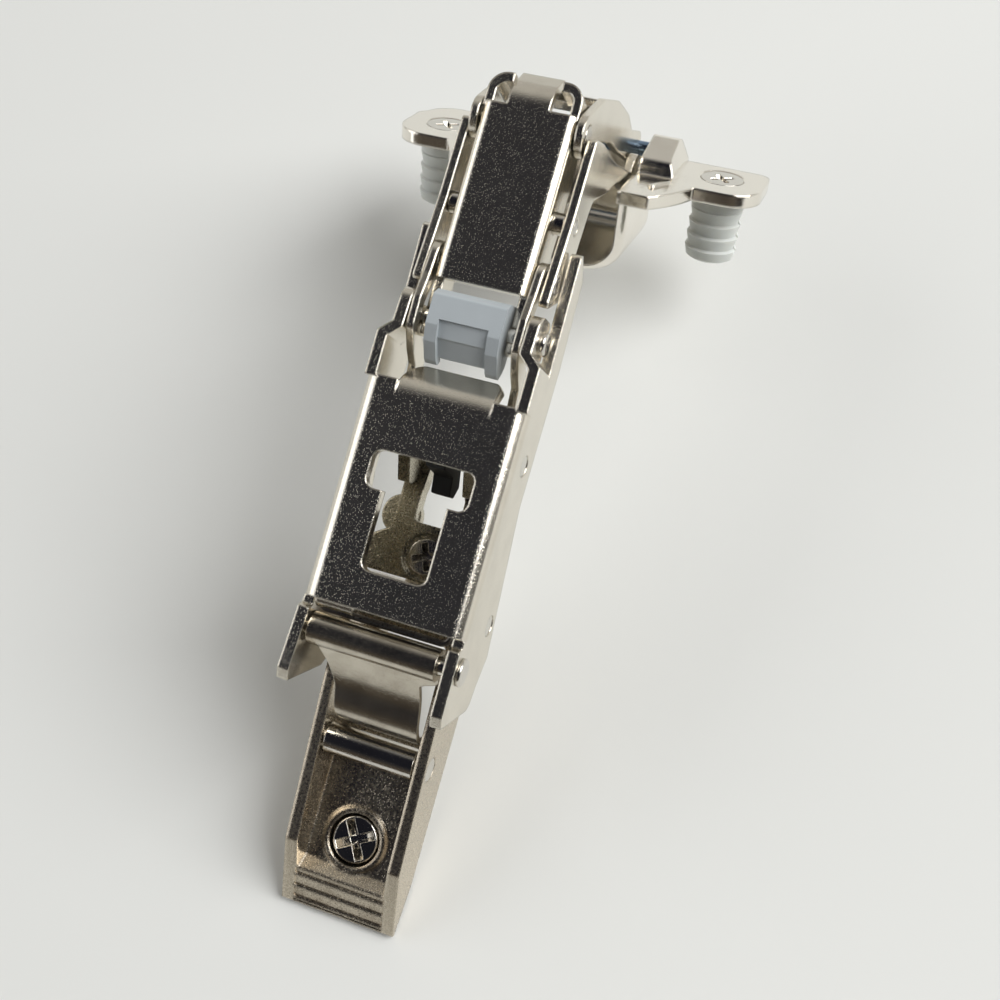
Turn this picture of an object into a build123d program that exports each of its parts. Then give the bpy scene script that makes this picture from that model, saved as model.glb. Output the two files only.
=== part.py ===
"""Concealed wide-angle cup hinge, shown open.

Frame: the origin lies on the flat underside of the clip body, where it sits on its mounting plate.
+X runs forward along the arm to the cup, Y runs along the hinge pins (+Y is the left side), +Z is up.
Every pin is parallel to Y. The cup stands turned by the opening angle about that direction.
"""
import os
from math import acos, atan2, cos, degrees, hypot, radians, sin, tan

from build123d import *

# ---------------------------------------------------------------- clearances
press = 0.01  # left between a pin and the sheet that it is riveted into
running = 0.07  # radial, between a pin and what turns on it
side_gap = 0.1  # between plates that slide past each other

# ---------------------------------------------------------------- clip body
clip_side_gap = 1.25  # to the arm's walls on each side
clip_wall = 1.75
clip_floor = 4.7
clip_rear = -19.6
clip_front = 28.7
clip_kink = (-10.0, 8.8)
clip_mouth = (12.0, 11.7)
clip_rear_top = 3.2
seat_rear = -10.0
block_rear = 23.6
block_top = 12.3
tongue_front = 35.6
tongue_top = 4.4
grip_start = -14.5
grip_ridges = 3
grip_pitch = 1.85
grip_ridge_height = 0.35
grip_half_width = 6.9
hook_slot = (7.6, 21.6)
hook_slot_half_width = 5.4

depth_screw_x = -8.2
depth_head_radius = 3.4
depth_head_height = 3.0
depth_shank_radius = 2.0
depth_boss_radius = 4.7
depth_boss_height = 0.45
screw_gap = 0.35  # round a screw's head, and under the side screw's foot

catch_pin_at = (5.0, 8.3)
catch_pin_radius = 2.2

# ---------------------------------------------------------------- arm channel
arm_sheet = 1.6
arm_half_width = 11.5
arm_top = 21.4
arm_bend = 2.2
arm_inner = arm_half_width - arm_sheet
plate_rear = 24.0
plate_behind_pivot = 9.5
raw_edge_behind_pivot = 4.2
joggle_length = 1.6
ear_beyond_pivot = 3.1
ear_top = 20.9
slit_height = 15.4
slit_gap = 0.2
nose_tip = (77.2, 16.1)
rear_ear_back = 12.3
rear_ear_flare = 3.5
lip_length = 4.4
lip_slope = 44.0
lip_bend = 3.6
lip_behind_front = 2.3  # where the lip's bend begins
lip_sides = (-6.7, 6.7)

window_bar = (39.8, 45.0)
window_bar_half = 7.2
window_stem = (29.2, 39.8)
window_stem_half = 4.6
window_corner = 1.3

tilt_pin_at = (26.2, 9.75)
tilt_pin_radius = 1.5
clip_pin_at = (19.9, 18.3)
clip_pin_radius = 1.25

# ---------------------------------------------------------------- clip plate and its spring
clip_plate_sheet = 0.9
clip_plate_sides = (-8.6, 9.7)
clip_plate_foot = (-6.5, 5.7)
clip_wire = 0.9

# ---------------------------------------------------------------- carrier in the arm
carrier_top = 9.7
carrier_thickness = 2.6
side_screw_x = 32.8
side_head_radius = 2.6
side_ring_radius = 3.3

# ---------------------------------------------------------------- linkage pivots (x, z), arm open
pivot_a = (64.1, 17.2)  # cover link on the arm's ears
a_to_b = (-16.07, -1.96)  # short links on the arm's walls
a_to_c = (16.42, -0.96)  # outer links on the cover link
a_to_d = (8.1, 0.1)  # short links and outer links
a_to_e = (28.45, -0.33)  # cup link on the cover link
cup_centre = (99.6, -10.5)
cup_to_f = (-1.01, 1.95)  # outer links on the cup
cup_to_g = (2.9, -1.8)  # cup link on the cup
opening_angle = 36.0  # of the cup's axis above the arm's line

# layers across the hinge, from the arm's walls inwards
outer_link_sheet = 1.35
inner_link_sheet = 1.1
cover_sheet = 1.3
wall_gap = 0.25
layer_gap = 0.3
cover_gap = 0.2

pivot_radius = 1.5
pivot_end_radius = 1.2
cross_end_radius = 1.0
cover_top = 19.9
cover_rear = 69.3
cover_notch_rear = 94.1
cover_front = 98.5
cover_tongue = (-2.7, 3.3)
cover_return = 3.4

saddle_top = 4.3
saddle_front = 2.7
saddle_wall = 1.3
spring_wire_radius = 0.5
spring_turns = 6

# ---------------------------------------------------------------- cup
pot_front = 16.0
pot_rear = -9.6
pot_corner = 6.0
pot_foot = 3.4
pot_wall = 1.0
cup_depth = 13.4
flange_sheet = 2.0
flange_radius = 20.6
flange_front = 14.4
rim_height = 1.2
tab_beyond_dowel = 6.6
tab_low = -5.8
tab_high = 6.5
cup_link_gap = 0.55
tower_reach = 4.8
cup_pin_radius = 1.15
outer_pin_radius = 0.9
dowel_offset = 22.5
dowel_shift = -0.5
dowel_radius = 4.0
dowel_length = 10.5
dowel_screw_radius = 1.7
dowel_head_radius = 3.3


def beside(at, dx, dz, *radius):
    """A place at an offset from another in X and Z; with a radius it is a stop for a strap."""
    return (at[0] + dx, at[1] + dz, *radius)


# ---------------------------------------------------------------- what follows from the sizes
pivot_b = beside(pivot_a, *a_to_b)
pivot_c = beside(pivot_a, *a_to_c)
pivot_d = beside(pivot_a, *a_to_d)
pivot_e = beside(pivot_a, *a_to_e)
pivot_f = beside(cup_centre, *cup_to_f)
pivot_g = beside(cup_centre, *cup_to_g)

outer_plate = (arm_inner - wall_gap - outer_link_sheet, arm_inner - wall_gap)
inner_plate = (outer_plate[0] - layer_gap - inner_link_sheet, outer_plate[0] - layer_gap)
cover_half_width = inner_plate[0] - cover_gap
saddle_half_width = cover_half_width - cover_sheet - cover_gap
ear_half_width = inner_plate[1] + cover_gap + arm_sheet
clip_half_width = arm_inner - clip_side_gap
arm_gap_half = outer_plate[1] + cup_link_gap
tower = (arm_gap_half + 0.3, arm_gap_half + tower_reach)

plate_front = pivot_a[0] - plate_behind_pivot
raw_edge_front = pivot_a[0] - raw_edge_behind_pivot
ear_front = pivot_a[0] + ear_beyond_pivot


# ---------------------------------------------------------------- shared forms
def plane_at(y):
    """The X-Z plane at a place along Y, looking along -Y."""
    return Plane(origin=(0, y, 0), x_dir=(1, 0, 0), z_dir=(0, -1, 0))


def thick(face, low, high):
    """A flat plate with the outline of a face drawn in X and Z, from Y = low to Y = high."""
    return extrude(plane_at(high) * face, high - low)


def both_sides(face, low, high):
    """The same plate on the left and the right of the hinge."""
    return thick(face, low, high) + thick(face, -high, -low)


def flat(points, corner=0.0):
    """A face with straight edges, its corners rounded."""
    face = make_face(Polyline(*points, close=True))
    return fillet(face.vertices(), corner) if corner else face


def strap(*stops):
    """A link's outline: circles (x, z, radius) joined in turn by straight tangents."""
    outline = Pos(stops[0][0], stops[0][1]) * Circle(stops[0][2])
    for (x1, z1, r1), (x2, z2, r2) in zip(stops, stops[1:]):
        run = hypot(x2 - x1, z2 - z1)
        heading = atan2(z2 - z1, x2 - x1)
        lean = acos((r1 - r2) / run)
        corners = []
        for x, z, r, side in ((x1, z1, r1, 1), (x2, z2, r2, 1), (x2, z2, r2, -1), (x1, z1, r1, -1)):
            angle = heading + side * lean
            corners.append((x + r * cos(angle), z + r * sin(angle)))
        outline += make_face(Polyline(*corners, close=True))
        outline += Pos(x2, z2) * Circle(r2)
    return outline


def eye(at, radius):
    """A circle about a pivot, in X and Z."""
    return Pos(at[0], at[1]) * Circle(radius)


def rod(at, radius, low, high):
    """A round pin along Y."""
    return thick(eye(at, radius), low, high)


def rivet_head(at, radius, height, face):
    """A low domed head on the outer side of a wall at Y = face, which may be on either side."""
    outward = 1 if face > 0 else -1
    plane = Plane(origin=(at[0], face, at[1]), x_dir=(1, 0, 0), z_dir=(0, outward, 0))
    head = extrude(plane * Circle(radius), height)
    return fillet(head.faces().sort_by(Axis.Y)[-1 if face > 0 else 0].edges(), height * 0.6)


def cross_recess(radius, depth, width, turn):
    """The cutter of a cross recess: two crossed slots that narrow as they go down from Z = 0."""
    wing = Plane.XY * Rectangle(2 * radius, width)
    wing_foot = Plane.XY.offset(-depth) * Rectangle(0.9 * radius, width * 0.6)
    slot = loft([wing, wing_foot])
    return Rot(0, 0, turn) * slot + Rot(0, 0, turn + 90) * slot


# ---------------------------------------------------------------- arm side
def clip_body():
    """Die-cast trough that clips on the mounting plate, with the arm's tilt pin at its front."""
    rear_under = clip_rear + 0.6
    side = flat([
        (clip_rear, clip_rear_top - 0.9),
        (rear_under, 2.3),
        (seat_rear, 0),
        (23.0, 0),
        (tongue_front, 2.4),
        (tongue_front, tongue_top),
        (clip_front, tongue_top),
        (clip_front, block_top),
        (clip_mouth[0] + 6, block_top),
        clip_mouth,
        clip_kink,
        (clip_rear, clip_rear_top),
    ])
    body = thick(side, -clip_half_width, clip_half_width)
    body = fillet(body.edges().filter_by(Axis.Y).group_by(Axis.X)[-1], 0.5)
    long_edges = [
        e for e in body.edges().filter_by(Axis.X)
        if abs(e.center().Z) < 0.1
    ]
    body = fillet(long_edges, 0.8)

    # the drafted hollow between the walls, from the grip to the front block
    draft = 0.35
    hollow = flat([
        (grip_start, 6.4),
        (grip_start + 2.1, clip_floor),
        (block_rear, clip_floor),
        (block_rear, 15),
        (grip_start, 15),
    ])
    inner_half = clip_half_width - clip_wall - draft
    hollow_mid = thick(hollow, -inner_half, inner_half)
    walls = flat([
        (-inner_half, clip_floor),
        (inner_half, clip_floor),
        (inner_half + 2.3 * draft, 15),
        (-inner_half - 2.3 * draft, 15),
    ])
    across = Plane(origin=(grip_start, 0, 0), x_dir=(0, 1, 0), z_dir=(1, 0, 0))
    drafted = extrude(across * walls, block_rear - grip_start)
    wide = thick(hollow, -clip_half_width, clip_half_width)
    body -= (wide & drafted) + hollow_mid

    # the grip: a shallow panel between the rails, with ridges across it
    rail = (clip_kink[1] - clip_rear_top) / (clip_kink[0] - clip_rear)
    panel_top = clip_rear_top + rail * (grip_start - clip_rear)
    grip = flat([
        (clip_rear + 0.2, clip_rear_top + rail * 0.2 - grip_ridge_height),
        (grip_start + 0.5, panel_top + rail * 0.5 - grip_ridge_height),
        (grip_start + 0.5, panel_top + 4),
        (clip_rear + 0.2, panel_top + 4),
    ])
    body -= thick(grip, -grip_half_width, grip_half_width)
    for number in range(grip_ridges):
        x = clip_rear + 0.55 + number * grip_pitch
        z = clip_rear_top + rail * (x - clip_rear) - grip_ridge_height
        ridge = flat([(x - 0.4, z - 0.5), (x + 0.4, z - 0.3), (x + 0.2, z + 0.42), (x - 0.1, z + 0.3)])
        body += thick(ridge, -grip_half_width, grip_half_width)

    # raised ring and hole of the depth screw
    ring = Pos(depth_screw_x, 0, clip_floor) * Cylinder(
        depth_boss_radius, 2 * depth_boss_height)
    ring = fillet(ring.edges().group_by(Axis.Z)[-1], depth_boss_height * 0.7)
    body += ring
    body -= Pos(depth_screw_x, 0, clip_floor - depth_head_height + 0.1) * Cylinder(
        depth_head_radius + screw_gap, 12, align=(Align.CENTER, Align.CENTER, Align.MIN))
    body -= Pos(depth_screw_x, 0, 0) * Cylinder(depth_shank_radius + running, 12)

    # slot where the mounting plate's hook reaches the catch pin
    slot = Pos((hook_slot[0] + hook_slot[1]) / 2, 0) * RectangleRounded(
        hook_slot[1] - hook_slot[0], 2 * hook_slot_half_width, 1.5)
    body -= extrude(slot, 20, both=True)

    # the tongue under the side screw is narrower than the block
    for side_sign in (-1, 1):
        body -= Pos(clip_front + 10, side_sign * 10, 0) * Box(20, 13, 12)

    # cross holes: catch pin and tilt pin
    body -= rod(catch_pin_at, catch_pin_radius - 0.5 + press, -clip_half_width, clip_half_width)
    body -= rod(tilt_pin_at, tilt_pin_radius + running, -clip_half_width, clip_half_width)
    return body


def catch_pin():
    """Turned pin across the trough, with thinner ends held in its walls."""
    inner = clip_half_width - clip_wall - 0.25
    pin = rod(catch_pin_at, catch_pin_radius, -inner, inner)
    reach = clip_half_width - 0.02
    return pin + rod(catch_pin_at, catch_pin_radius - 0.5, -reach, reach)


def depth_screw():
    """Cross-recess screw that sets the arm forward or back on its plate."""
    top = clip_floor + 0.2
    head = Pos(0, 0, -depth_head_height / 2) * Cylinder(depth_head_radius, depth_head_height)
    head = fillet(head.edges().group_by(Axis.Z)[-1], 0.45)
    shank_length = top - depth_head_height - 0.1
    shank = Pos(0, 0, -depth_head_height - shank_length / 2) * Cylinder(depth_shank_radius, shank_length)
    screw = head + shank - cross_recess(depth_head_radius - 0.5, 1.9, 1.25, 30)
    return Pos(depth_screw_x, 0, top) * screw


def arm_channel():
    """One stamped and folded sheet: top plate, two walls, rear ears, front ears and noses."""
    wall = (arm_inner, arm_half_width)

    # lower run of each wall, from the rear ear to the nose
    side = flat([
        (21.0, 18.6),
        (21.0, 6.3),
        (21.9, 6.0),
        (42.8, 11.4),
        beside(pivot_a, -1.7, -6.4),
        (nose_tip[0] - 2.6, nose_tip[1] - 4.2),
        (nose_tip[0], nose_tip[1] - 0.6),
        (nose_tip[0] - 0.5, nose_tip[1]),
        (raw_edge_front + joggle_length, slit_height - slit_gap / 2),
        (raw_edge_front, slit_height - slit_gap / 2),
        (raw_edge_front, arm_top),
        (plate_front - 0.4, arm_top),
        (plate_front - 0.4, 18.6),
    ])
    channel = both_sides(side, *wall)

    # folded section over the middle
    section = flat([
        (-arm_half_width, 18.2),
        (arm_half_width, 18.2),
        (arm_half_width, arm_top),
        (-arm_half_width, arm_top),
    ])
    section = fillet(section.vertices().group_by(Axis.Y)[-1], arm_bend)
    inside = Pos(0, (arm_top - arm_sheet) / 2) * Rectangle(2 * wall[0], arm_top - arm_sheet)
    inside = fillet(inside.vertices().group_by(Axis.Y)[-1], arm_bend - arm_sheet)
    across = Plane(origin=(plate_rear, 0, 0), x_dir=(0, 1, 0), z_dir=(1, 0, 0))
    channel += extrude(across * (section - inside), plate_front - plate_rear)

    # rear ears, the left one opened out a little
    ear = flat([
        (21.6, 18.6),
        (plate_rear, 18.6),
        (plate_rear, 20.3),
        (22.9, 20.3),
        (22.4, 21.3),
        (rear_ear_back + 1.5, 21.0),
        (rear_ear_back, 20.0),
        (14.3, 9.4),
        (15.2, 8.5),
        (17.6, 7.9),
        (21.6, 6.1),
    ])
    channel += thick(ear, -wall[1], -wall[0])
    hinge_line = (22.2, (wall[0] + wall[1]) / 2)
    flared = Pos(*hinge_line) * Rot(0, 0, -rear_ear_flare) * Pos(-hinge_line[0], -hinge_line[1])
    channel += flared * thick(ear, *wall)

    # front ears, set inwards by a joggle above the slit
    step = wall[0] - (ear_half_width - arm_sheet)
    joggle_end = raw_edge_front + joggle_length
    plan = flat([
        (raw_edge_front - 3, wall[0]),
        (raw_edge_front, wall[0]),
        (joggle_end, wall[0] - step),
        (ear_front, wall[0] - step),
        (ear_front, ear_half_width),
        (joggle_end + 0.45, ear_half_width),
        (raw_edge_front + 0.45, wall[1]),
        (raw_edge_front - 3, wall[1]),
    ])
    ear_side = flat([
        (raw_edge_front - 3, slit_height + slit_gap / 2),
        (ear_front, slit_height + slit_gap / 2),
        (ear_front, ear_top),
        (joggle_end, arm_top),
        (raw_edge_front - 3, arm_top),
    ])
    ear_side = fillet(ear_side.vertices().group_by(Axis.X)[-1].sort_by(Axis.Y)[-1], 2.0)
    ear_side = fillet(ear_side.vertices().group_by(Axis.X)[-1].sort_by(Axis.Y)[0], 0.8)
    for sign in (1, -1):
        band = extrude(plan if sign > 0 else mirror(plan, Plane.XZ), 30)
        channel += band & thick(ear_side, -20, 20)

    # front lip, curled down between the walls
    right, left = lip_sides
    middle = arm_top - arm_sheet / 2
    turn = radians(lip_slope)
    bend_start = plate_front - lip_behind_front
    knee = bend_start + lip_bend * tan(turn / 2)
    tip = (knee + lip_length * cos(turn), middle - lip_length * sin(turn))
    lip_line = FilletPolyline((bend_start - 1.0, middle), (knee, middle), tip, radius=lip_bend)
    lip = thick(trace(lip_line, arm_sheet), right, left)
    outline = flat([
        (bend_start - 1.0, right),
        (tip[0] + 0.6, right),
        (tip[0] + 0.6, left),
        (bend_start - 1.0, left),
    ])
    outline = fillet(outline.vertices().group_by(Axis.X)[-1].sort_by(Axis.Y)[0], 1.4)
    outline = fillet(outline.vertices().group_by(Axis.X)[-1].sort_by(Axis.Y)[-1], 2.8)
    gap = Pos(bend_start, 0, arm_top - arm_sheet - 0.1) * Box(
        lip_behind_front + 1.0, left - right, 4, align=(Align.MIN, Align.CENTER, Align.MIN))
    channel -= Pos(0, (left + right) / 2, 0) * gap
    channel += lip & extrude(outline, 30)

    # tab turned down at the rear edge
    tab_low, tab_high = 4.1, 9.4
    tab = flat([
        (plate_rear + 0.5, arm_top),
        (plate_rear - 0.6, arm_top - 0.35),
        (plate_rear - 1.1, arm_top - 1.3),
        (plate_rear + 0.5, arm_top - arm_sheet),
    ])
    channel += thick(tab, tab_low, tab_high)

    # the T-shaped window
    bar = Pos(sum(window_bar) / 2, 0) * RectangleRounded(
        window_bar[1] - window_bar[0], 2 * window_bar_half, window_corner)
    stem = Pos((window_stem[0] + window_bar[1]) / 2 - 1, 0) * RectangleRounded(
        window_bar[1] - window_stem[0] - 2, 2 * window_stem_half, window_corner)
    window = bar + stem
    channel -= Pos(0, 0, arm_top - 3) * extrude(window, 6)

    # holes for the pins
    reach = arm_half_width + 2
    for at, radius in (
        (tilt_pin_at, tilt_pin_radius),
        (clip_pin_at, clip_pin_radius),
        (pivot_b, pivot_radius),
        (pivot_a, pivot_end_radius),
    ):
        channel -= rod(at, radius + press, -reach, reach)
    return channel


def tilt_pin():
    """Pin that carries the arm on the clip body."""
    reach = arm_half_width - 0.1
    return rod(tilt_pin_at, tilt_pin_radius, -reach, reach)


def clip_pin():
    """Upper cross pin of the clip plate, riveted over outside the ears."""
    reach = arm_half_width
    pin = rod(clip_pin_at, clip_pin_radius, -reach - 0.1, reach + 0.1)
    pin += rivet_head(clip_pin_at, 1.9, 0.55, -reach - 0.05)
    return pin


def clip_plate():
    """Spring-steel plate rolled round the upper pin; its foot is bent down towards the catch pin."""
    x, z = clip_pin_at
    bore = clip_pin_radius + running
    middle = bore + clip_plate_sheet / 2
    right, left = clip_plate_sides
    foot_right, foot_left = clip_plate_foot
    roll = thick(eye(clip_pin_at, bore + clip_plate_sheet), right, left)
    start = (x + middle * cos(radians(225)), z + middle * sin(radians(225)))
    blade_line = Spline(
        start,
        beside(clip_pin_at, -4.3, -4.3),
        beside(clip_pin_at, -7.1, -6.0),
        beside(clip_pin_at, -9.6, -6.75),
        beside(clip_pin_at, -10.9, -7.7),
        beside(clip_pin_at, -11.5, -8.8),
    )
    blade = thick(trace(blade_line, clip_plate_sheet), right, left)
    plan = flat([
        (x + 4, left),
        (x - 1.5, left),
        (x - 2.8, left - 0.9),
        (x - 4.3, 7.7),
        (x - 7.0, foot_left + 0.8),
        (x - 12.6, foot_left),
        (x - 12.6, foot_right),
        (x - 3.9, foot_right + 0.7),
        (x - 3.5, foot_right + 0.2),
        (x - 2.9, right + 0.5),
        (x - 2.4, right),
        (x + 4, right),
    ])
    plate = roll + (blade & extrude(plan, 40))
    plate -= rod(clip_pin_at, bore, right - 1, left + 1)
    seam = Pos(x + bore + 0.5, 0, z - 1.4) * Rot(0, 40, 0) * Box(2.2, 3 * left, 0.25)
    return plate - seam


def clip_spring():
    """Bent wire behind the rolled plate, its legs lying under the channel's top."""
    radius = clip_wire / 2
    side = arm_inner - radius - 0.15
    height = arm_top - arm_sheet - radius - 0.05
    back = clip_pin_at[0] + clip_pin_radius + clip_plate_sheet + radius + 0.35
    front = back + 8.5
    line = FilletPolyline(
        (front, side, height),
        (back, side, height),
        (back, -side, height),
        (front, -side, height),
        radius=1.2,
    )
    section = Plane(origin=line @ 0, z_dir=line % 0) * Circle(radius)
    return sweep(section, line)


def adjusting_carrier():
    """Die-cast piece between the arm's walls that holds the side screw."""
    wall = arm_inner - 0.03
    rear = clip_front + 0.5
    front = pivot_b[0] - 1.4
    slot_rear = side_screw_x + 4.4
    deck_outline = flat([
        (rear, -wall),
        (front, -wall),
        (front, -3.6),
        (front - 4.0, -3.2),
        (slot_rear, -3.2),
        (slot_rear, 2.9),
        (front - 4.2, 2.9),
        (front, 2.6),
        (front, 6.0),
        (slot_rear + 2.6, 5.9),
        (slot_rear - 1.6, 6.0),
        (side_screw_x + 1.2, wall - 1.4),
        (side_screw_x + 0.4, wall),
        (rear, wall),
    ])
    deck_outline = fillet(deck_outline.vertices(), 0.6)
    opening = Pos(slot_rear + 2.7, -0.2) * RectangleRounded(5.4, 6.4, 1.3)
    deck = extrude(Pos(0, 0, carrier_top - carrier_thickness) * (deck_outline - opening), carrier_thickness)

    # round ear beside the stem, a step lower than the deck
    lobe = Pos(slot_rear + 0.4, 5.6) * Circle(2.9)
    body = deck + extrude(Pos(0, 0, carrier_top - 3.4) * lobe, 1.6)

    # cheeks at the front carry the piece on the short links' pin
    x, z = pivot_b
    cheek = flat([
        (front - 3.4, carrier_top - 0.5),
        (front, carrier_top - 0.5),
        (x + 2.4, z - 1),
        (x + 2.4, z + 2.3),
        (x - 1.2, z + 2.3),
        (x - 6.0, 13.6),
        (x - 6.0, 12.2),
    ], 0.4)
    body += both_sides(cheek, 3.9, 5.6)
    body -= rod(pivot_b, pivot_radius + press, -20, 20)

    # boss, recess and bore of the side screw
    boss_foot = carrier_top - carrier_thickness - 1.2
    body += extrude(Pos(side_screw_x, 0, boss_foot) * Circle(3.5), 2.0)
    body -= extrude(Pos(side_screw_x, 0, carrier_top - 0.9) * Circle(side_ring_radius), 4)
    body -= extrude(Pos(side_screw_x, 0, 0) * Circle(side_head_radius - 0.4 + running), 20)
    return body


def side_screw():
    """Cross-recess screw through the carrier; its foot stands on the clip body's tongue."""
    top = carrier_top - 0.25
    head_height = 0.55
    head = Pos(0, 0, -head_height / 2) * Cylinder(side_head_radius, head_height)
    head = fillet(head.edges().group_by(Axis.Z)[-1], 0.2)
    length = top - tongue_top - screw_gap
    shank = Pos(0, 0, -length / 2) * Cylinder(side_head_radius - 0.4, length)
    screw = head + shank - cross_recess(2.0, 1.6, 0.9, 20)
    return Pos(side_screw_x, 0, top) * screw


def stop_block():
    """Dark moulded block under the channel's top, beside the carrier's stem."""
    under = arm_top - arm_sheet - 0.02
    outline = flat([
        (41.5, 12.2),
        (43.2, 10.9),
        (46.0, 12.6),
        (46.0, under),
        (44.6, under),
        (44.0, 15.2),
        (41.5, 14.2),
    ], 0.35)
    return thick(outline, -2.4, 0.4)


def front_pivot_pin():
    """Rivet of the cover link: thick between the ears, thinner through them, headed outside."""
    shoulder = ear_half_width - arm_sheet - side_gap
    reach = ear_half_width + 0.3
    pin = rod(pivot_a, pivot_radius, -shoulder, shoulder)
    pin += rod(pivot_a, pivot_end_radius, -reach, reach)
    pin += rivet_head(pivot_a, 1.65, 0.75, ear_half_width + press)
    pin += rivet_head(pivot_a, 1.65, 0.75, -ear_half_width - press)
    return pin


def short_link_pin():
    """Pin of the short links, right through the arm's walls."""
    reach = arm_half_width - 0.1
    return rod(pivot_b, pivot_radius, -reach, reach)


def closing_spring():
    """Torsion spring on the front pivot that pulls the hinge shut."""
    mean = pivot_radius + 0.3 + spring_wire_radius
    length = 2 * (saddle_half_width - saddle_wall) - 2 * spring_wire_radius - 0.3
    coil = Helix(pitch=length / spring_turns, height=length, radius=mean)
    section = Plane(origin=coil @ 0, z_dir=coil % 0) * Circle(spring_wire_radius)
    spring = sweep(section, coil, is_frenet=True)
    return Pos(pivot_a[0], length / 2, pivot_a[1]) * Rot(90, 0, 0) * spring


def spring_saddle():
    """Moulded saddle over the closing spring; its two legs rest behind the pivot."""
    x, z = pivot_a
    half = saddle_half_width
    skin = saddle_wall
    side = flat([
        (x - 1.4, z + saddle_top),
        (x + saddle_front, z + saddle_top),
        (x + saddle_front + 0.9, z + saddle_top - 1.3),
        (x + saddle_front + 1.3, z - 0.6),
        (x + saddle_front + 0.6, z - 2.2),
        (x - 4.0, z - 1.7),
        (x - 5.2, z - 1.0),
        (x - 6.1, z - 0.2),
        (x - 5.7, z + 0.9),
        (x - 3.6, z + 3.2),
    ])
    side = fillet(side.vertices(), 0.45)
    saddle = thick(side, -half, half)
    hollow = eye(pivot_a, saddle_top - skin) + flat([
        (x - 9, z - 6),
        (x + 3.0, z - 6),
        (x + 3.0, z),
        (x - 2.4, z + 2.0),
        (x - 3.6, z + 0.6),
        (x - 9, z - 4),
    ])
    saddle -= thick(hollow, -half + skin, half - skin)
    saddle -= rod(pivot_a, pivot_radius + press, -half - 1, half + 1)

    # the rear slope is sunk between the legs, with a step across it and two round ejector marks
    panel = flat([
        (x - 0.6, z + 3.9),
        (x - 2.8, z + 3.0),
        (x - 3.0, z + 2.6),
        (x - 5.0, z + 0.7),
        (x - 4.8, z - 3),
        (x - 9, z - 3),
        (x - 9, z + 6),
        (x - 0.6, z + 6),
    ])
    saddle -= thick(panel, -half + 1.7, half - 1.7)
    return saddle


# ---------------------------------------------------------------- links
def cover_link():
    """One folded sheet: its back is the cover, its walls are the main links."""
    inner = cover_half_width - cover_sheet
    walls = strap(
        beside(pivot_a, 0, 0, 2.7),
        beside(pivot_c, 0, 0, 3.1),
        beside(pivot_e, 0, 0, 3.0),
        (cover_front - 4.2, pivot_e[1], 2.5),
    )
    walls += flat([
        (cover_rear, 16.0),
        (cover_notch_rear, 16.0),
        (cover_notch_rear, cover_top - 1.5),
        (cover_rear, cover_top - 1.5),
    ])
    walls -= Pos(80, cover_top + 8.5) * Rectangle(60, 20)
    link = both_sides(walls, inner, cover_half_width)

    # at the front corners each wall turns inwards on a wide bend
    middle = cover_half_width - cover_sheet / 2
    bend = FilletPolyline(
        (cover_front - 5.0, middle),
        (cover_front - cover_sheet / 2, middle),
        (cover_front - cover_sheet / 2, cover_return),
        radius=2.0,
    )
    foot = pivot_e[1] - 2.5
    corner = extrude(Pos(0, 0, foot) * trace(bend, cover_sheet), cover_top - 0.5 - foot)
    link += corner + mirror(corner, Plane.XZ)

    # the folded back
    section = flat([
        (-cover_half_width, cover_top - 1.7),
        (cover_half_width, cover_top - 1.7),
        (cover_half_width, cover_top),
        (-cover_half_width, cover_top),
    ])
    section = fillet(section.vertices().group_by(Axis.Y)[-1], 1.5)
    inside = Pos(0, cover_top - cover_sheet - 2) * Rectangle(2 * inner, 4)
    across = Plane(origin=(cover_rear, 0, 0), x_dir=(0, 1, 0), z_dir=(1, 0, 0))
    link += extrude(across * (section - inside), cover_notch_rear - cover_rear)

    # beyond the notches only the middle tongue goes on, and it bends down at the front
    height = cover_top - cover_sheet / 2
    bent = FilletPolyline(
        (cover_notch_rear - 0.2, height),
        (cover_front - 2.3, height),
        (cover_front + 0.8, height - 3.1),
        radius=4.2,
    )
    link += thick(trace(bent, cover_sheet), *cover_tongue)
    for at in (pivot_c, pivot_e):
        link -= rod(at, pivot_radius + press, -20, 20)
    link -= rod(pivot_a, pivot_radius + running, -20, 20)
    return link


def cross_pin():
    """Pin of the outer links, fixed in the cover link's walls, thinner at its ends."""
    shoulder = outer_plate[0] - side_gap
    reach = outer_plate[1] - 0.02
    pin = rod(pivot_c, pivot_radius, -shoulder, shoulder)
    return pin + rod(pivot_c, cross_end_radius, -reach, reach)


def front_pin():
    """Pin of the cup link, fixed in the cover link's walls."""
    reach = inner_plate[1] + side_gap
    return rod(pivot_e, pivot_radius, -reach, reach)


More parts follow.
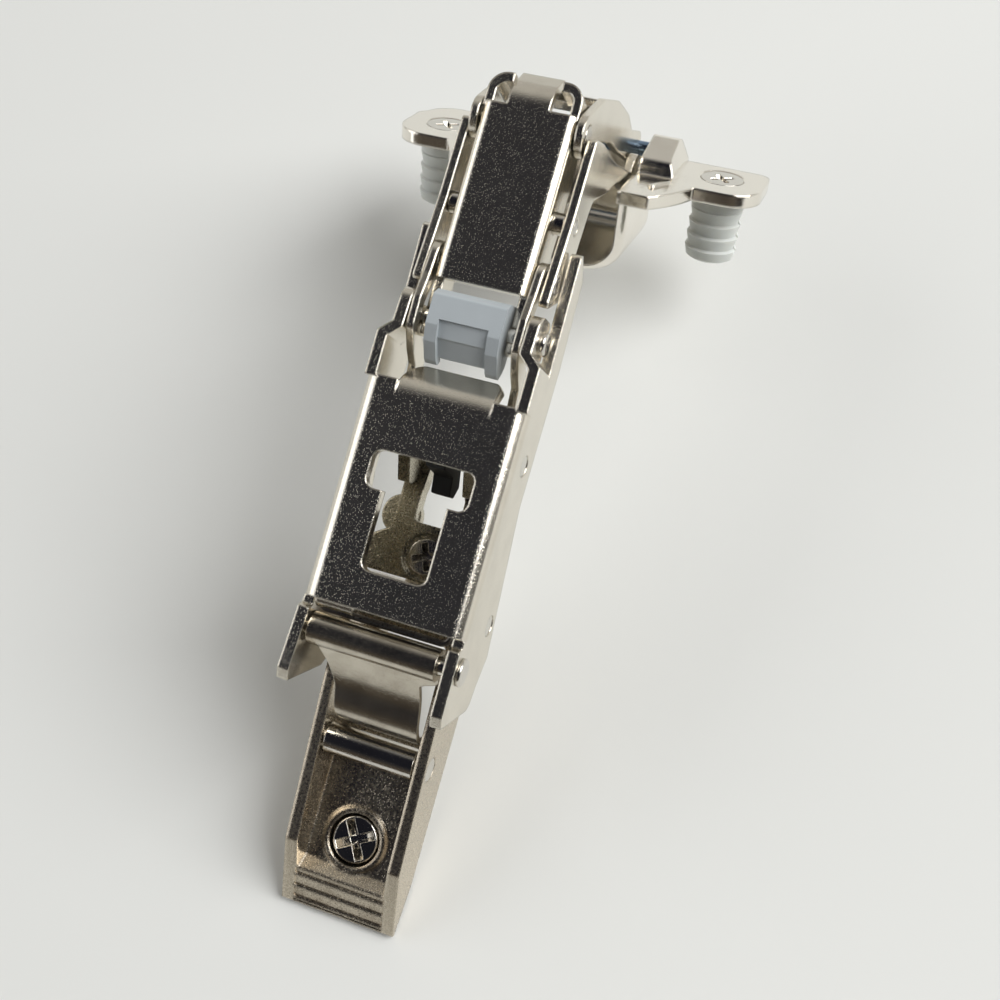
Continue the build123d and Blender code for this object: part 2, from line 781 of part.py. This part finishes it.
def outer_link(side_sign):
    """Flat outer plate from the short link, over the cross pin, down into the cup."""
    low, high = outer_plate
    upper = flat([
        beside(pivot_d, -4.1, 2.3),
        beside(pivot_c, 0.1, 1.95),
        beside(pivot_e, -0.4, 1.0),
        beside(pivot_e, 0.7, -3.4),
        beside(pivot_e, 1.35, -11.9),
        beside(pivot_f, -2.6, 4.6),
        beside(pivot_f, -2.0, 2.25),
        beside(pivot_f, -4.7, -0.05),
        beside(pivot_f, -6.1, 9.0),
        beside(pivot_e, -3.35, -11.9),
        beside(pivot_e, -6.55, -5.9),
        beside(pivot_c, 3.5, -4.6),
        beside(pivot_d, 1.2, -4.5),
        beside(pivot_d, -1.3, -4.0),
    ])
    upper = fillet(upper.vertices().filter_by_position(Axis.X, pivot_d[0] - 6, pivot_f[0] - 3.6), 0.7)
    neck = strap(
        beside(pivot_f, -3.6, 1.45, 1.6),
        beside(pivot_f, -2.0, 0.25, 2.0),
        beside(pivot_f, -0.4, -0.45, 2.1),
    )
    outline = upper + neck
    plate = thick(outline, low, high) if side_sign > 0 else thick(outline, -high, -low)
    plate -= rod(pivot_c, cross_end_radius + running, -20, 20)
    plate -= rod(pivot_d, pivot_radius - 0.05 + press, -20, 20)
    plate -= rod(pivot_f, outer_pin_radius + 0.1, -20, 20)
    return plate


def link_rivets():
    """The pair of rivets at the rear of the outer links."""
    radius = pivot_radius - 0.05
    return both_sides(eye(pivot_d, radius), outer_plate[0] - side_gap, outer_plate[1] + 0.05)


def short_link(side_sign):
    """Curved plate from the arm's rear pin, over the front pivot, to the outer link."""
    outline = strap(
        beside(pivot_b, 0, 0, 2.3),
        beside(pivot_b, 6.57, -1.84, 1.7),
        beside(pivot_a, -5.5, -2.9, 1.7),
        beside(pivot_a, -3.9, -0.1, 1.5),
        beside(pivot_a, -1.8, 2.7, 1.1),
        beside(pivot_a, 1.7, 2.9, 1.0),
        beside(pivot_d, -3.0, 1.7, 1.25),
        beside(pivot_d, 0, 0, 2.5),
    )
    low, high = inner_plate
    plate = thick(outline, low, high) if side_sign > 0 else thick(outline, -high, -low)
    plate -= rod(pivot_b, pivot_radius + running, -20, 20)
    plate -= rod(pivot_d, pivot_radius, -20, 20)
    return plate


def cup_link():
    """One folded sheet: two bulged plates joined by a web across their front edges."""
    low, high = inner_plate
    outline = strap(
        beside(pivot_e, 0, 0, 3.0),
        beside(pivot_e, 4.5, -5.3, 2.9),
        beside(pivot_e, 7.1, -11.9, 2.9),
        beside(pivot_g, -1.8, 10.3, 2.9),
        beside(pivot_g, -1.6, 5.3, 2.0),
        beside(pivot_g, 0, 0, 2.5),
    )
    link = both_sides(outline, low, high)
    web_line = FilletPolyline(
        beside(pivot_e, 6.4, -4.4),
        beside(pivot_e, 9.1, -11.2),
        beside(pivot_e, 10.2, -18.3),
        radius=9,
    )
    link += thick(trace(web_line, inner_link_sheet), -low - 0.3, low + 0.3)
    link -= rod(pivot_e, pivot_radius + running, -20, 20)
    link -= rod(pivot_g, cup_pin_radius + press, -20, 20)
    return link


# ---------------------------------------------------------------- cup side
def cup_frame():
    """The cup's own plane: x along the pins, y towards the door's edge, z out of the door."""
    turn = radians(opening_angle)
    return Plane(origin=(cup_centre[0], 0, cup_centre[1]), x_dir=(0, 1, 0), z_dir=(cos(turn), 0, sin(turn)))


def in_cup(at):
    """A pivot's place (y, z) in the cup's own plane."""
    point = cup_frame().to_local_coords(Vector(at[0], 0, at[1]))
    return point.Y, point.Z


def pot_outline(wall):
    """The pot's plan, or its hollow's: flat flanks and corners that stay inside the door's bore."""
    width = 2 * (arm_gap_half + pot_wall - wall)
    length = pot_front - pot_rear - 2 * wall
    return Pos(0, (pot_front + pot_rear) / 2) * RectangleRounded(width, length, pot_corner - wall)


def cup():
    """Die-cast cup with its flange, screw tabs and the two towers that hold the pins."""
    pot = extrude(pot_outline(0), -cup_depth)
    pot = fillet(pot.edges().group_by(Axis.Z)[0], pot_foot)

    # flange: a tab on each side, and a rounded lip round the front of the pot
    tab_reach = dowel_offset + tab_beyond_dowel
    tabs = Pos(0, (tab_low + tab_high) / 2) * Rectangle(2 * tab_reach, tab_high - tab_low)
    tabs = fillet(tabs.vertices().group_by(Axis.Y)[0], 2.0)
    tabs = fillet(tabs.vertices().group_by(Axis.Y)[-1], 5.0)
    tabs += Pos(dowel_offset + 0.8, tab_low + 1.2) * Circle(4.9)
    apron = Circle(flange_radius) & (Pos(0, flange_front / 2) * Rectangle(2 * flange_radius, flange_front))
    collar = pot_outline(-0.9) & (Pos(0, pot_front) * Rectangle(60, 4 * pot_corner))
    flange = extrude(Pos(0, 0, -flange_sheet) * (tabs + apron), flange_sheet)
    body = pot + flange + extrude(Pos(0, 0, -rim_height) * collar, rim_height)

    # towers over the tabs' roots, round about both pins
    f_at = in_cup(pivot_f)
    g_at = in_cup(pivot_g)
    profile = strap((g_at[0], g_at[1], 2.5), (f_at[0], f_at[1], 2.1))
    profile += flat([
        (g_at[0] - 3.4, -flange_sheet),
        (f_at[0] + 3.6, -flange_sheet),
        (f_at[0] + 1.9, f_at[1] + 0.6),
        (g_at[0] - 2.2, g_at[1] + 0.9),
    ])
    upright = Plane(origin=(0, 0, 0), x_dir=(0, 1, 0), z_dir=(1, 0, 0))
    outer_slope = flat([
        (tower[0], -flange_sheet),
        (tower[1] + 0.9, -flange_sheet),
        (tower[1] + 0.9, 0.4),
        (tower[1], 2.4),
        (tower[1] - 1.6, 9),
        (tower[0], 9),
    ])
    sloped = extrude(Plane.XZ * outer_slope, 40, both=True)
    flank = extrude(upright.offset(tower[0]) * profile, tower[1] + 0.9 - tower[0]) & sloped
    body += flank + mirror(flank, Plane.YZ)

    # small bead on the flange in front of each tower
    bead = Pos(tower[1] - 0.2, tab_high + 1.9) * Rot(0, 0, 118) * SlotOverall(4.2, 1.1)
    bead = extrude(bead, 0.35)
    body += bead + mirror(bead, Plane.YZ)

    # the hollow between the flanks, and the gap at the front that the links swing through
    hollow = extrude(Pos(0, 0, pot_wall - cup_depth) * pot_outline(pot_wall), 30)
    body -= fillet(hollow.edges().group_by(Axis.Z)[0], pot_foot - pot_wall)
    gap_depth = cup_depth - 3.4
    gap = Pos(0, pot_front, -gap_depth / 2) * Box(2 * arm_gap_half, 16, gap_depth + 4)
    body -= fillet(gap.edges().filter_by(Axis.Y).group_by(Axis.Z)[0], 3.5)

    # pin holes and screw seats
    for at, radius in ((g_at, cup_pin_radius + running), (f_at, outer_pin_radius + press)):
        body -= Pos(0, at[0], at[1]) * Rot(0, 90, 0) * Cylinder(radius, 2 * tower[1] - 0.6)
    for sign in (-1, 1):
        seat = Pos(sign * dowel_offset, dowel_shift, 0)
        body -= seat * Cylinder(dowel_screw_radius + 0.3, 10)
        body -= seat * Pos(0, 0, -1.35) * Cone(
            dowel_screw_radius + 0.3,
            dowel_head_radius + 0.25,
            1.4,
            align=(Align.CENTER, Align.CENTER, Align.MIN),
        )
    return cup_frame() * body


def outer_cup_pins():
    """The pair of short pins at the outer links' ends, fixed in the towers."""
    f_at = in_cup(pivot_f)
    inner_end = outer_plate[1] + 0.25
    outer_end = tower[1] - 0.5
    length = outer_end - inner_end
    pins = None
    for sign in (-1, 1):
        middle = Pos(sign * (inner_end + length / 2), f_at[0], f_at[1])
        pin = middle * Rot(0, 90, 0) * Cylinder(outer_pin_radius, length)
        pins = pin if pins is None else pins + pin
    return cup_frame() * pins


def cup_pin():
    """Blued steel pin of the cup link, lying across the cup between the towers."""
    reach = tower[1] - 0.5
    return rod(pivot_g, cup_pin_radius, -reach, reach)


def dowel(side_sign):
    """Moulded dowel with barbs, pressed into the door beside the cup."""
    top = -flange_sheet - 0.02
    barb = 2.05
    barb_depth = 0.35
    land = 2.2
    points = [(dowel_screw_radius - 0.3, top), (dowel_radius, top), (dowel_radius, top - land)]
    for number in range(4):
        z = top - land - number * barb
        points.append((dowel_radius - barb_depth, z))
        points.append((dowel_radius, z - 0.3))
        points.append((dowel_radius - barb_depth, z - barb + 0.3))
    points.append((dowel_radius - 1.0, top - dowel_length))
    points.append((dowel_screw_radius - 0.3, top - dowel_length))
    profile = make_face(Polyline(*points, close=True))
    body = revolve(Plane.XZ * profile, Axis.Z)
    body -= Pos(0, 0, top - dowel_length) * Box(20, 0.8, 2 * (dowel_length - 3.0))
    return cup_frame() * Pos(side_sign * dowel_offset, dowel_shift, 0) * body


def dowel_screw(side_sign):
    """Countersunk screw that spreads the dowel."""
    head = Pos(0, 0, -1.3) * Cone(
        dowel_screw_radius, dowel_head_radius, 1.35, align=(Align.CENTER, Align.CENTER, Align.MIN))
    length = 9.0
    core = dowel_screw_radius - 0.35
    shank = Pos(0, 0, -length / 2) * Cylinder(core, length)
    screw = head + shank - Pos(0, 0, 0.06) * cross_recess(1.9, 1.5, 0.8, 35)
    return cup_frame() * Pos(side_sign * dowel_offset, dowel_shift, -0.1) * screw


# ---------------------------------------------------------------- all pieces
pieces = {
    "clip_body": clip_body(),
    "catch_pin": catch_pin(),
    "depth_screw": depth_screw(),
    "arm_channel": arm_channel(),
    "tilt_pin": tilt_pin(),
    "clip_pin": clip_pin(),
    "clip_plate": clip_plate(),
    "clip_spring": clip_spring(),
    "adjusting_carrier": adjusting_carrier(),
    "side_screw": side_screw(),
    "stop_block": stop_block(),
    "front_pivot_pin": front_pivot_pin(),
    "short_link_pin": short_link_pin(),
    "closing_spring": closing_spring(),
    "spring_saddle": spring_saddle(),
    "cover_link": cover_link(),
    "cross_pin": cross_pin(),
    "front_pin": front_pin(),
    "outer_link_left": outer_link(1),
    "outer_link_right": outer_link(-1),
    "link_rivets": link_rivets(),
    "short_link_left": short_link(1),
    "short_link_right": short_link(-1),
    "cup_link": cup_link(),
    "cup_pin": cup_pin(),
    "cup": cup(),
    "outer_cup_pins": outer_cup_pins(),
    "dowel_left": dowel(1),
    "dowel_right": dowel(-1),
    "dowel_screw_left": dowel_screw(1),
    "dowel_screw_right": dowel_screw(-1),
}

os.makedirs("parts", exist_ok=True)
for name, piece in pieces.items():
    export_step(piece, f"parts/{name}.step")
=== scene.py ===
from math import radians

import bpy
from mathutils import Matrix, Vector

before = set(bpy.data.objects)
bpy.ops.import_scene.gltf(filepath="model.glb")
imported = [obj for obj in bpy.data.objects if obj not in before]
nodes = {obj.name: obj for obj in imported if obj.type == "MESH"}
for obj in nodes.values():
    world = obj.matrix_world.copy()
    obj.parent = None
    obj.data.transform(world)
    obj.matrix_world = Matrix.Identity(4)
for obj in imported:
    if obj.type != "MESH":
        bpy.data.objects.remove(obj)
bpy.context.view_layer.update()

# ---------------------------------------------------------------- clip body
# The trough that snaps onto the mounting plate: zinc die-cast, barrel-plated with nickel.
# Casting leaves its hollow sandy and dull; the rails and outer walls are tumbled smooth.
MM = 0.001
STAIN_PATCH = 4 * MM


def paint(hex_colour):
    """An sRGB hex colour as linear RGBA."""
    parts = [int(hex_colour[i:i + 2], 16) / 255 for i in (1, 3, 5)]
    linear = [p / 12.92 if p <= 0.04045 else ((p + 0.055) / 1.055) ** 2.4 for p in parts]
    return (*linear, 1)


def add(tree, kind, links=None, **settings):
    """Adds a node to a tree with its settings, and fills its sockets with links or values."""
    node = tree.nodes.new(kind)
    for name, value in settings.items():
        setattr(node, name, value)
    for name, value in (links or {}).items():
        socket = node.inputs[name]
        if isinstance(value, bpy.types.NodeSocket):
            tree.links.new(value, socket)
        else:
            socket.default_value = value
    return node


# Joins the faces of a piece along their edges, so that an edge can be rounded as one.
tumbled = bpy.data.node_groups.new("tumbled", "GeometryNodeTree")
tumbled.interface.new_socket("Geometry", in_out="INPUT", socket_type="NodeSocketGeometry")
tumbled.interface.new_socket("Geometry", in_out="OUTPUT", socket_type="NodeSocketGeometry")
loose = add(tumbled, "NodeGroupInput")
welded = add(tumbled, "GeometryNodeMergeByDistance",
             {"Geometry": loose.outputs[0], "Distance": 0.001 * MM})
plain = add(tumbled, "GeometryNodeRemoveAttribute",
            {"Geometry": welded.outputs[0], "Name": "custom_normal"})
add(tumbled, "NodeGroupOutput", {"Geometry": plain.outputs[0]})


def broken_edges(width, *names, segments=3):
    """Gives CAD nodes the small rounded edges that tumbling leaves, width in mm."""
    for name in names:
        weld = nodes[name].modifiers.new("weld", "NODES")
        weld.node_group = tumbled
        flat = nodes[name].modifiers.new("flat", "DECIMATE")
        flat.decimate_type = "DISSOLVE"
        flat.angle_limit = radians(0.6)
        bevel = nodes[name].modifiers.new("edges", "BEVEL")
        bevel.width = width * MM
        bevel.segments = segments
        bevel.limit_method = "ANGLE"
        bevel.angle_limit = radians(28)
        bevel.harden_normals = True
        bevel.use_clamp_overlap = True


def plated(name, tone, skin, dents, gloss, stain, stained, flanks=1.0, worn=0.2, hollow=20.0):
    """Nickel plate on steel or zinc.

    Skin and dents are (size, depth) in mm, and flanks is the share of the dents that the sides keep.
    Tumbling has rounded every edge to the radius worn, in mm. Further to each side than hollow, in mm,
    the piece was rubbed clean and smooth."""
    material = bpy.data.materials.new(name)
    material.use_nodes = True
    tree = material.node_tree
    shader = tree.nodes["Principled BSDF"]
    place = add(tree, "ShaderNodeTexCoord")
    facing = add(tree, "ShaderNodeSeparateXYZ", {"Vector": place.outputs["Normal"]})
    sideways = add(tree, "ShaderNodeMath", {0: facing.outputs["Y"]}, operation="ABSOLUTE")
    kept = add(tree, "ShaderNodeMapRange",
               {"Value": sideways.outputs[0], "From Min": 0.5, "From Max": 0.9,
                "To Min": 1.0, "To Max": flanks})
    spot = add(tree, "ShaderNodeSeparateXYZ", {"Vector": place.outputs["Object"]})
    beside = add(tree, "ShaderNodeMath", {0: spot.outputs["Y"]}, operation="ABSOLUTE")
    inside = add(tree, "ShaderNodeMapRange",
                 {"Value": beside.outputs[0], "From Min": hollow * MM,
                  "From Max": (hollow + 0.3) * MM, "To Min": 1.0, "To Max": 0.1})
    rough = add(tree, "ShaderNodeMath", {0: kept.outputs[0], 1: inside.outputs[0]},
                operation="MULTIPLY")

    # A dent is round: its bottom is a tenth of a cell wide each way, and its rim fades out by 0.38.
    peel = add(tree, "ShaderNodeTexNoise",
               {"Vector": place.outputs["Object"], "Scale": 1 / (skin[0] * MM), "Detail": 2.0})
    speck = add(tree, "ShaderNodeTexVoronoi",
                {"Vector": place.outputs["Object"], "Scale": 1 / (dents[0] * MM)})
    dent = add(tree, "ShaderNodeMapRange",
               {"Value": speck.outputs["Distance"], "From Min": 0.1, "From Max": 0.38},
               interpolation_type="SMOOTHSTEP")
    rounded = add(tree, "ShaderNodeBevel", {"Radius": worn * MM}, samples=6)
    waves = add(tree, "ShaderNodeBump",
                {"Height": peel.outputs["Fac"], "Distance": skin[1] * MM, "Normal": rounded.outputs[0]})
    pits = add(tree, "ShaderNodeBump",
               {"Height": dent.outputs[0], "Distance": dents[1] * MM, "Strength": rough.outputs[0],
                "Normal": waves.outputs[0]})
    tree.links.new(pits.outputs[0], shader.inputs["Normal"])

    # Polish residue stays in patches where nothing rubs it off.
    cloud = add(tree, "ShaderNodeTexNoise",
                {"Vector": place.outputs["Object"], "Scale": 1 / STAIN_PATCH, "Detail": 4.0})
    dirt = add(tree, "ShaderNodeMapRange",
               {"Value": cloud.outputs["Fac"], "From Min": 0.42, "From Max": 0.72,
                "To Min": 0.0, "To Max": stained})
    left_dirt = add(tree, "ShaderNodeMath", {0: dirt.outputs[0], 1: inside.outputs[0]},
                    operation="MULTIPLY")
    colour = add(tree, "ShaderNodeMix",
                 {"Factor": left_dirt.outputs[0], "A": paint(tone), "B": paint(stain)},
                 data_type="RGBA")
    tree.links.new(colour.outputs["Result"], shader.inputs["Base Color"])

    dull = add(tree, "ShaderNodeMapRange",
               {"Value": peel.outputs["Fac"], "From Min": 0.3, "From Max": 0.7,
                "To Min": gloss * 0.8, "To Max": gloss * 1.3})
    tree.links.new(dull.outputs[0], shader.inputs["Roughness"])
    shader.inputs["Metallic"].default_value = 1.0
    return material


def finish_with(material, *names):
    """Puts a finish on CAD nodes."""
    for name in names:
        nodes[name].material_slots[0].material = material


# Nickel over a die-casting: the sand of the mould shows through, and polish residue browns it.
cast_nickel = plated("nickel_plated_die_casting", tone="#CBC1B0", skin=(0.3, 0.006),
                     dents=(0.3, 0.02), gloss=0.26, stain="#6E5A42", stained=0.45,
                     flanks=0.2, worn=0.7, hollow=6.7)
finish_with(cast_nickel, "clip_body")
broken_edges(0.22, "clip_body")

# ---------------------------------------------------------------- pins and screws
# Turned steel: the catch pin across the trough, the cross-recess screws and all the riveted pins.
# Turned and barrel-plated, so they are the smoothest and most mirror-like of the metal parts.
turned_nickel = plated("nickel_plated_turned_steel", tone="#D8D4CC", skin=(0.25, 0.003),
                       dents=(0.3, 0.006), gloss=0.13, stain="#7C756A", stained=0.2)
HEADS_IN_SIGHT = ("catch_pin", "depth_screw", "side_screw", "tilt_pin", "short_link_pin", "cross_pin",
                  "front_pin", "link_rivets", "dowel_screw_left", "dowel_screw_right")
finish_with(turned_nickel, *HEADS_IN_SIGHT, "front_pivot_pin", "outer_cup_pins", "clip_pin")
broken_edges(0.12, *HEADS_IN_SIGHT)

# ---------------------------------------------------------------- arm channel and links
# Stamped and folded cold-rolled steel, tumbled in a barrel and plated with bright nickel.
# Tumbling peppers the flat faces with small dents that glint; the sides lie smoother.
sheet_nickel = plated("bright_nickel_on_tumbled_sheet", tone="#E2DCCF", skin=(0.14, 0.005),
                      dents=(0.24, 0.0113), gloss=0.2, stain="#8D8578", stained=0.12,
                      flanks=0.1, worn=0.45)
finish_with(sheet_nickel, "arm_channel", "cover_link", "outer_link_left", "outer_link_right",
            "short_link_left", "short_link_right", "cup_link")
broken_edges(0.42, "arm_channel", "cover_link", "outer_link_left", "outer_link_right")
broken_edges(0.34, "short_link_left", "short_link_right", "cup_link")

# ---------------------------------------------------------------- clip plate and springs
# The rolled clip plate is thin spring strip, plated dark over a rolled, almost mirror-smooth skin.
# The springs are cold-drawn wire, left dark and slightly oily.
strip_nickel = plated("nickel_plated_spring_strip", tone="#C9C2B4", skin=(0.3, 0.004),
                      dents=(0.3, 0.008), gloss=0.2, stain="#776C5C", stained=0.35)
finish_with(strip_nickel, "clip_plate")
broken_edges(0.18, "clip_plate")
spring_wire = plated("oiled_spring_wire", tone="#6E6B68", skin=(0.2, 0.004), dents=(0.3, 0.008),
                     gloss=0.3, stain="#3C3A38", stained=0.5)
finish_with(spring_wire, "clip_spring", "closing_spring")

# ---------------------------------------------------------------- carrier
# Zinc die-casting inside the arm, which carries the screws and slides on the clip body.
# It is sandy all over and dulled to olive, and brighter where its rims are rubbed.
carrier_nickel = plated("dull_nickel_on_die_casting", tone="#B9B2A0", skin=(0.3, 0.02),
                        dents=(0.3, 0.014), gloss=0.26, stain="#6B5F45", stained=0.5, worn=0.4)
finish_with(carrier_nickel, "adjusting_carrier")
broken_edges(0.2, "adjusting_carrier")


# ---------------------------------------------------------------- moulded parts
# Acetal saddle, black polyamide stop block and nylon dowels: injection-moulded, matt to satin,
# with the faint skin of the tool.
def moulded(name, tone, rough, depth, haze):
    """A moulded plastic with the spark-eroded skin of its tool; haze is how deep light goes in."""
    material = bpy.data.materials.new(name)
    material.use_nodes = True
    tree = material.node_tree
    shader = tree.nodes["Principled BSDF"]
    place = add(tree, "ShaderNodeTexCoord").outputs["Object"]
    skin = add(tree, "ShaderNodeTexNoise", {"Vector": place, "Scale": 1 / (0.2 * MM), "Detail": 2.0})
    cloud = add(tree, "ShaderNodeTexNoise", {"Vector": place, "Scale": 1 / STAIN_PATCH, "Detail": 2.0})
    value = add(tree, "ShaderNodeMapRange",
                {"Value": cloud.outputs["Fac"], "To Min": 0.94, "To Max": 1.05})
    shade = add(tree, "ShaderNodeHueSaturation", {"Color": paint(tone), "Value": value.outputs[0]})
    bump = add(tree, "ShaderNodeBump", {"Height": skin.outputs["Fac"], "Distance": depth * MM})
    tree.links.new(shade.outputs[0], shader.inputs["Base Color"])
    tree.links.new(bump.outputs[0], shader.inputs["Normal"])
    shader.inputs["Roughness"].default_value = rough
    shader.inputs["IOR"].default_value = 1.48
    if haze:
        shader.inputs["Subsurface Weight"].default_value = haze
        shader.inputs["Subsurface Radius"].default_value = (1.0, 0.95, 0.85)
        shader.inputs["Subsurface Scale"].default_value = 1.5 * MM
    return material


finish_with(moulded("grey_acetal_moulded", "#ADB4B8", rough=0.5, depth=0.006, haze=0.0),
            "spring_saddle")
finish_with(moulded("black_polyamide_moulded", "#2A2B2C", rough=0.6, depth=0.01, haze=0.0),
            "stop_block")
finish_with(moulded("natural_nylon_moulded", "#CDD0CC", rough=0.35, depth=0.004, haze=0.8),
            "dowel_left", "dowel_right")
broken_edges(0.3, "spring_saddle")
broken_edges(0.2, "stop_block")
broken_edges(0.15, "dowel_left", "dowel_right")

# ---------------------------------------------------------------- cup
# Zinc die-cast cup, polished before plating, so that it mirrors more softly than the sheet parts.
# Its pin is bright blue-passivated steel.
cup_nickel = plated("nickel_on_polished_casting", tone="#F0EBE1", skin=(0.6, 0.006), dents=(0.4, 0.006),
                    gloss=0.13, stain="#B0A898", stained=0.1, worn=0.6)
finish_with(cup_nickel, "cup")
broken_edges(0.5, "cup", segments=4)
blued = plated("blue_passivated_steel", tone="#8FA6C0", skin=(0.3, 0.004), dents=(0.4, 0.01), gloss=0.18,
               stain="#4A5868", stained=0.3)
finish_with(blued, "cup_pin")
broken_edges(0.15, "cup_pin")

# ---------------------------------------------------------------- floor
# The hinge lies back on a pale matt board, tilted so that its trough and its cup both touch it.
# The trough's rear end and the cup's tab give its slope, each as (x, z) in mm.
FLOOR_REAR = (-19.6, 2.0)
FLOOR_FRONT = (99.5, -34.4)
HINGE_MIDDLE = 40
BOARD_HALF = 1200
run = Vector((FLOOR_FRONT[0] - FLOOR_REAR[0], 0, FLOOR_FRONT[1] - FLOOR_REAR[1])).normalized()
across = Vector((0, 1, 0))
board_height = FLOOR_REAR[1] + (HINGE_MIDDLE - FLOOR_REAR[0]) * run.z / run.x
middle = Vector((HINGE_MIDDLE * MM, 0, board_height * MM))
corners = [middle + (run * a + across * b) * BOARD_HALF * MM
           for a, b in ((-1, -1), (1, -1), (1, 1), (-1, 1))]
floor_mesh = bpy.data.meshes.new("floor")
floor_mesh.from_pydata([tuple(c) for c in corners], [], [(0, 1, 2, 3)])
floor = bpy.data.objects.new("floor", floor_mesh)
bpy.context.scene.collection.objects.link(floor)
board = bpy.data.materials.new("pale_matt_board")
board.use_nodes = True
board_shader = board.node_tree.nodes["Principled BSDF"]
board_shader.inputs["Base Color"].default_value = paint("#E4E5E2")
board_shader.inputs["Roughness"].default_value = 0.9
board_shader.inputs["Specular IOR Level"].default_value = 0.1
floor_mesh.materials.append(board)

# ---------------------------------------------------------------- light
# A pale room with a dark ceiling, browner behind the arm than in front of it, and a dark cabinet
# behind on the right. A big window on the right draws the bright line along the cover, a narrow one
# the arm's, and a wide far one on the left fills the shadows.
world = bpy.data.worlds.new("studio")
bpy.context.scene.world = world
world.use_nodes = True
sky = world.node_tree
background = sky.nodes["Background"]
direction = add(sky, "ShaderNodeTexCoord").outputs["Generated"]
heading = add(sky, "ShaderNodeSeparateXYZ", {"Vector": direction})
behind = add(sky, "ShaderNodeMapRange",
             {"Value": heading.outputs["X"], "From Min": -0.8, "From Max": 0.2,
              "To Min": 1.0, "To Max": 0.0}, interpolation_type="SMOOTHSTEP")
walls = add(sky, "ShaderNodeMix",
            {"Factor": behind.outputs[0], "A": paint("#BDBBB6"), "B": paint("#544D44")},
            data_type="RGBA")
rearward = add(sky, "ShaderNodeMapRange",
               {"Value": heading.outputs["X"], "From Min": 0.02, "From Max": 0.16,
                "To Min": 1.0, "To Max": 0.0}, interpolation_type="SMOOTHSTEP")
cabinet = add(sky, "ShaderNodeMapRange",
              {"Value": heading.outputs["Y"], "From Min": -0.75, "From Max": -0.45,
               "To Min": rearward.outputs[0], "To Max": 0.0}, interpolation_type="SMOOTHSTEP")
sides = add(sky, "ShaderNodeMix",
            {"Factor": cabinet.outputs[0], "A": walls.outputs["Result"], "B": paint("#2B2926")},
            data_type="RGBA")
high = add(sky, "ShaderNodeMapRange",
           {"Value": heading.outputs["Z"], "From Min": 0.4, "From Max": 0.88,
            "To Min": 0.0, "To Max": 1.0}, interpolation_type="SMOOTHSTEP")
room = add(sky, "ShaderNodeMix",
           {"Factor": high.outputs[0], "A": sides.outputs["Result"], "B": paint("#1B1C23")},
           data_type="RGBA")
sky.links.new(room.outputs["Result"], background.inputs["Color"])
background.inputs["Strength"].default_value = 1.0


def softbox(name, towards, distance, width, height, strength):
    """A square lamp aimed at the hinge's middle: sizes in metres, strength in watts."""
    lamp = bpy.data.lights.new(name, "AREA")
    lamp.shape = "RECTANGLE"
    lamp.size = width
    lamp.size_y = height
    lamp.energy = strength
    holder = bpy.data.objects.new(name, lamp)
    aim = Vector(towards).normalized()
    holder.location = Vector((HINGE_MIDDLE * MM, 0, 0)) + aim * distance
    holder.rotation_euler = aim.to_track_quat("Z", "Y").to_euler()
    bpy.context.scene.collection.objects.link(holder)


softbox("window", (0.66, -1.0, 0.85), 1.8, 1.3, 1.4, 37.0)
softbox("window_edge", (0.02, -1.0, 1.25), 0.9, 0.3, 0.06, 0.045)
softbox("far_window", (-0.1, 1.0, 0.55), 3.0, 3.2, 2.2, 34.0)

# ---------------------------------------------------------------- camera
# It stands almost straight above the arm and a little to its right, and sees the cup at the top.
# Its place is in metres.
CAMERA_AT = (0.03606, -0.05274, 0.18211)
CAMERA_RIGHT = (0.2726, -0.9341, -0.2307)
CAMERA_UP = (0.9613, 0.2545, 0.1054)
camera_data = bpy.data.cameras.new("camera")
camera_data.lens = 46.8
camera_data.sensor_width = 36
camera_data.clip_start = 0.01
camera = bpy.data.objects.new("camera", camera_data)
right = Vector(CAMERA_RIGHT).normalized()
upward = Vector(CAMERA_UP)
upward = (upward - right * upward.dot(right)).normalized()
back = right.cross(upward)
turn = Matrix((right, upward, back)).transposed().to_4x4()
camera.matrix_world = Matrix.Translation(CAMERA_AT) @ turn
bpy.context.scene.collection.objects.link(camera)
bpy.context.scene.camera = camera
bpy.context.scene.view_settings.view_transform = "Standard"
